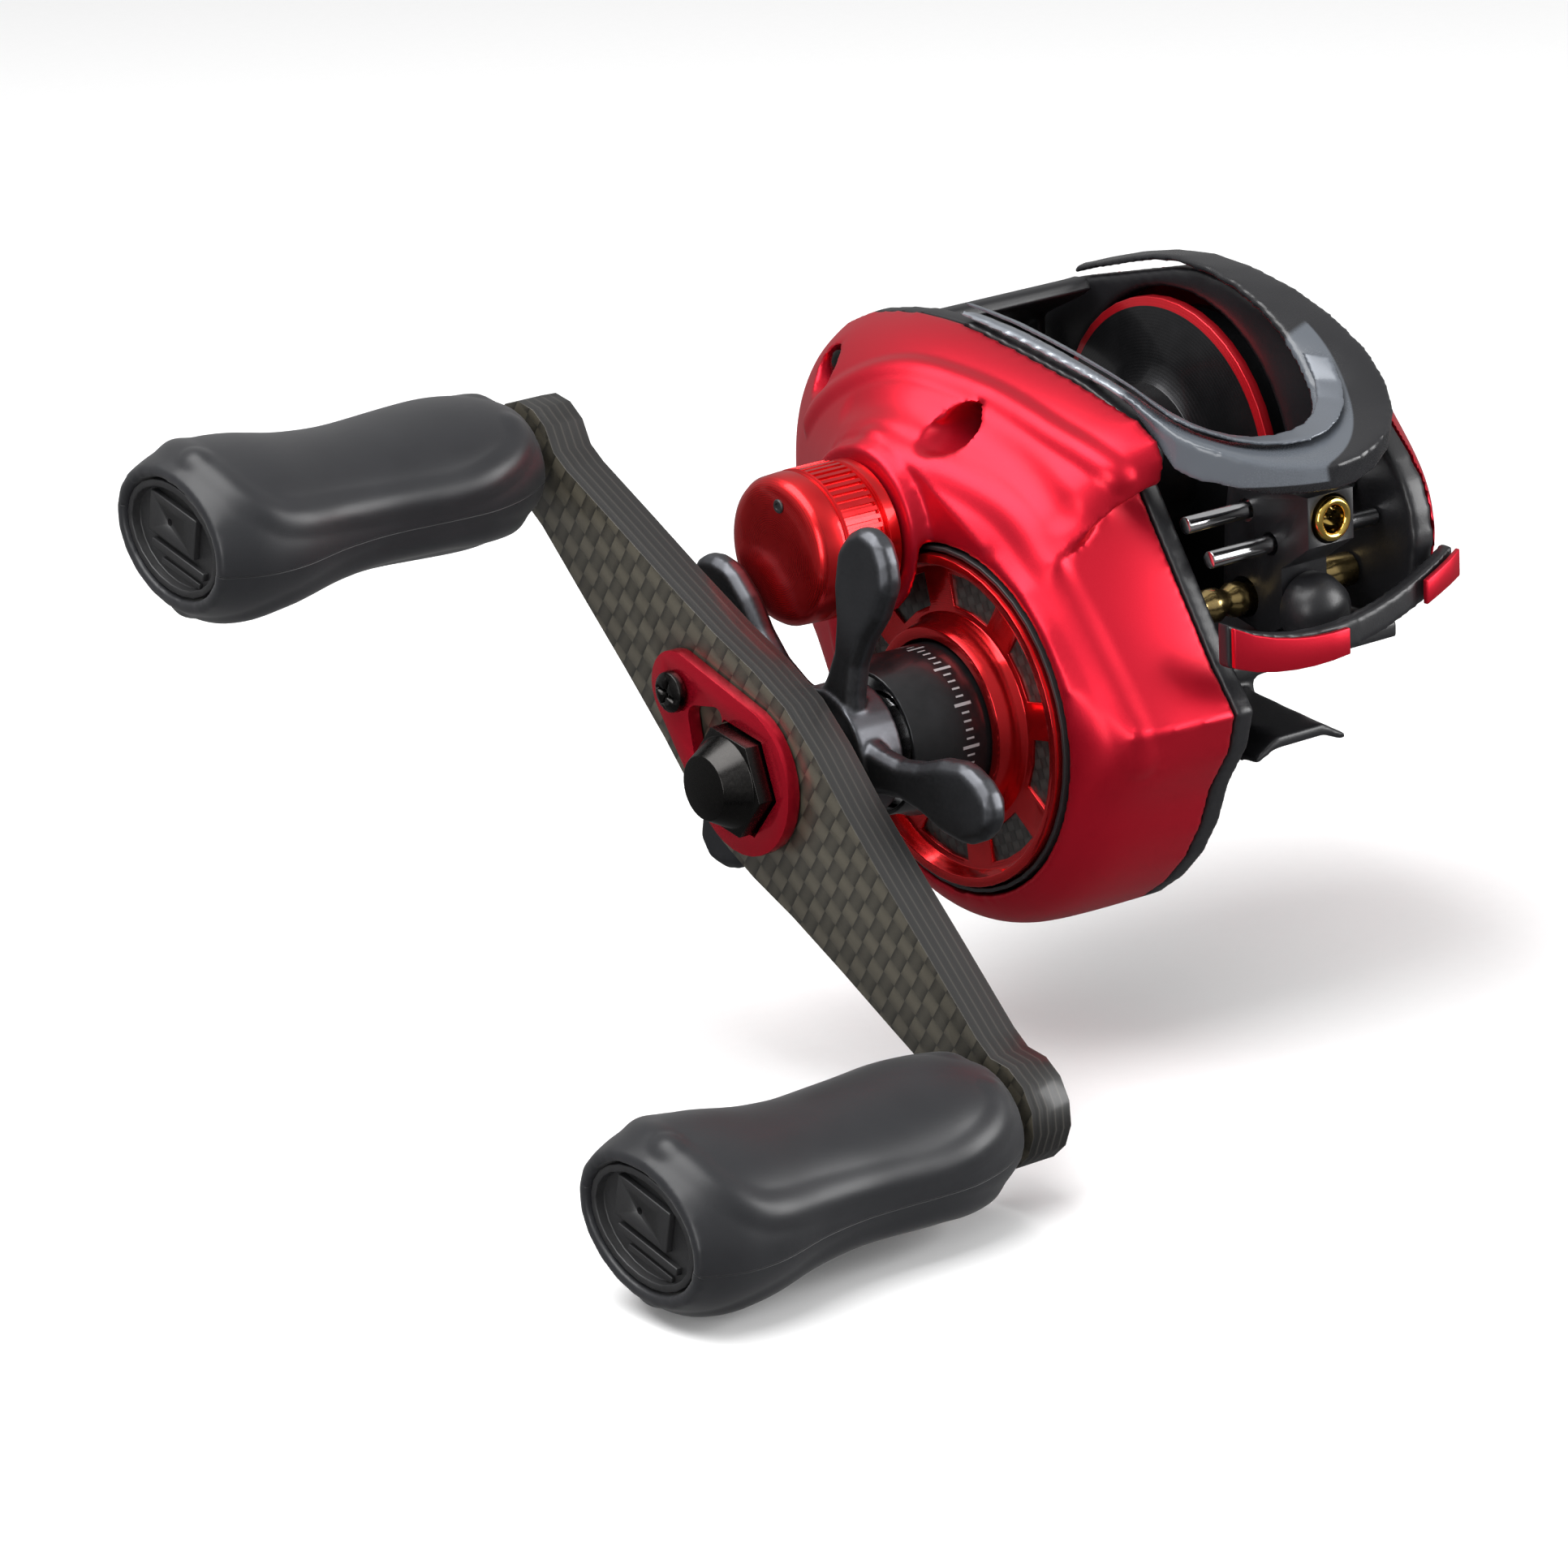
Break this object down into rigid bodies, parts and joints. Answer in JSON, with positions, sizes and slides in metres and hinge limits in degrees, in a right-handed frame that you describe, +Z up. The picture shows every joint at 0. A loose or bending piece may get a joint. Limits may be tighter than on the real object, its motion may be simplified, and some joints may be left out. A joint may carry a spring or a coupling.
{
  "type": "baitcasting reel",
  "caption": "Low-profile baitcasting fishing reel with star drag, two-grip crank handle, geared spool, level-wind line guide and rod-seat foot.",
  "frame": {"origin": "centre of the flat seat under the reel foot", "axes": "-X is the handle side, -Y points to the rod tip, +Z up from the rod"},
  "size_m": [0.1348, 0.1012, 0.0786],
  "materials": {
    "red_anodised": "satin anodised",
    "black_composite": "satin",
    "slate_inlay": "satin",
    "stainless_steel": "polished",
    "black_oxide_steel": "satin black",
    "brass": "machined",
    "gold_ring": "polished",
    "carbon_fibre": "woven, satin",
    "soft_touch_grip": "soft touch",
    "gear_plastic": "moulded"
  },
  "bodies": {
    "frame_body": {"frame": "black_composite", "hood": "black_composite", "hood_inlay": "slate_inlay", "front_brace": "black_composite", "brace_insert_handle_side": "red_anodised", "brace_insert_palm_side": "red_anodised", "handle_side_cover": "red_anodised", "cover_screw_rear": "black_oxide_steel", "cover_screw_top": "black_oxide_steel", "cover_screw_lower": "black_oxide_steel", "drag_ring": "red_anodised", "drag_seal_ring": "black_composite", "hub_sleeve": "black_composite", "anti_reverse_bearing": "stainless_steel", "spool_bearing_handle_side": "stainless_steel", "drive_shaft_bearing": "stainless_steel", "pinion_bearing": "stainless_steel", "clutch_spring_front": "stainless_steel", "clutch_spring_rear": "stainless_steel", "brake_plate": "black_composite", "spool_bearing_palm_side": "stainless_steel", "magnet_ring": "stainless_steel", "palm_side_cover": "red_anodised", "guide_bar_front": "stainless_steel", "guide_bar_rear": "stainless_steel"},
    "crank_body": {"drive_shaft": "stainless_steel", "levelwind_drive_gear": "gear_plastic", "ratchet_wheel": "stainless_steel", "main_gear": "brass", "carbon_washer_inner": "carbon_fibre", "pressure_plate": "stainless_steel", "carbon_washer_outer": "carbon_fibre", "one_way_sleeve": "stainless_steel", "handle_spacer": "stainless_steel", "handle_arm": "carbon_fibre", "nut_retainer": "red_anodised", "retainer_screw": "black_oxide_steel", "handle_nut": "black_oxide_steel", "grip_bolt_upper": "stainless_steel", "grip_bolt_lower": "stainless_steel"},
    "star_body": {"star_drag": "black_composite"},
    "grip_upper_body": {"grip_upper": "soft_touch_grip", "grip_cap_upper": "black_composite"},
    "grip_lower_body": {"grip_lower": "soft_touch_grip", "grip_cap_lower": "black_composite"},
    "spool_body": {"spool": "black_composite", "spool_shaft": "stainless_steel", "pinion_gear": "brass", "brake_hub": "gear_plastic"},
    "tension_body": {"tension_knob": "red_anodised"},
    "dial_body": {"brake_dial": "black_composite"},
    "idler_body": {"levelwind_idler_gear": "gear_plastic"},
    "worm_body": {"worm_gear": "gear_plastic", "worm_shaft": "stainless_steel"},
    "guide_body": {"line_guide": "black_composite", "guide_ring": "gold_ring", "pawl": "stainless_steel", "pawl_cap": "black_composite"},
    "thumb_body": {"thumb_bar": "black_composite"},
    "yoke_body": {"clutch_yoke": "stainless_steel"}
  },
  "joints": [
    {"name": "crank_spin", "type": "hinge", "parent": "frame_body", "child": "crank_body", "pos_m": [0, -0.006, 0.005], "axis": [1, 0, 0], "continuous": true},
    {"name": "star_turn", "type": "hinge", "parent": "crank_body", "child": "star_body", "pos_m": [0, -0.006, 0.005], "axis": [1, 0, 0], "range_deg": [-180, 180]},
    {"name": "grip_upper_spin", "type": "hinge", "parent": "crank_body", "child": "grip_upper_body", "pos_m": [0, 0.03281, 0.03238], "axis": [1, 0, 0], "continuous": true},
    {"name": "grip_lower_spin", "type": "hinge", "parent": "crank_body", "child": "grip_lower_body", "pos_m": [0, -0.04481, -0.02238], "axis": [1, 0, 0], "continuous": true},
    {"name": "spool_spin", "type": "hinge", "parent": "frame_body", "child": "spool_body", "pos_m": [0, 0.006, 0.024], "axis": [1, 0, 0], "continuous": true},
    {"name": "tension_turn", "type": "hinge", "parent": "frame_body", "child": "tension_body", "pos_m": [0, 0.006, 0.024], "axis": [1, 0, 0], "range_deg": [-360, 360]},
    {"name": "brake_dial_turn", "type": "hinge", "parent": "frame_body", "child": "dial_body", "pos_m": [0, 0.006, 0.024], "axis": [1, 0, 0], "range_deg": [-135, 135]},
    {"name": "levelwind_idler_spin", "type": "hinge", "parent": "frame_body", "child": "idler_body", "pos_m": [0, -0.0161, 0.01194], "axis": [1, 0, 0], "continuous": true},
    {"name": "worm_spin", "type": "hinge", "parent": "frame_body", "child": "worm_body", "pos_m": [0, -0.02207, 0.01605], "axis": [1, 0, 0], "continuous": true},
    {"name": "line_guide_slide", "type": "slide", "parent": "frame_body", "child": "guide_body", "axis": [1, 0, 0], "range_m": [-0.007, 0.007]},
    {"name": "thumb_bar_press", "type": "slide", "parent": "frame_body", "child": "thumb_body", "axis": [0, 0.5, -0.866], "range_m": [0, 0.0032]},
    {"name": "clutch_yoke_slide", "type": "slide", "parent": "frame_body", "child": "yoke_body", "axis": [-1, 0, 0], "range_m": [0, 0.0006]}
  ],
  "couplings": [
    {"joint": "spool_spin", "follows": "crank_spin", "ratio": -10.111},
    {"joint": "levelwind_idler_spin", "follows": "crank_spin", "ratio": -1.8824},
    {"joint": "worm_spin", "follows": "crank_spin", "ratio": 2.6667},
    {"joint": "clutch_yoke_slide", "follows": "thumb_bar_press", "ratio": 0.1875}
  ]
}
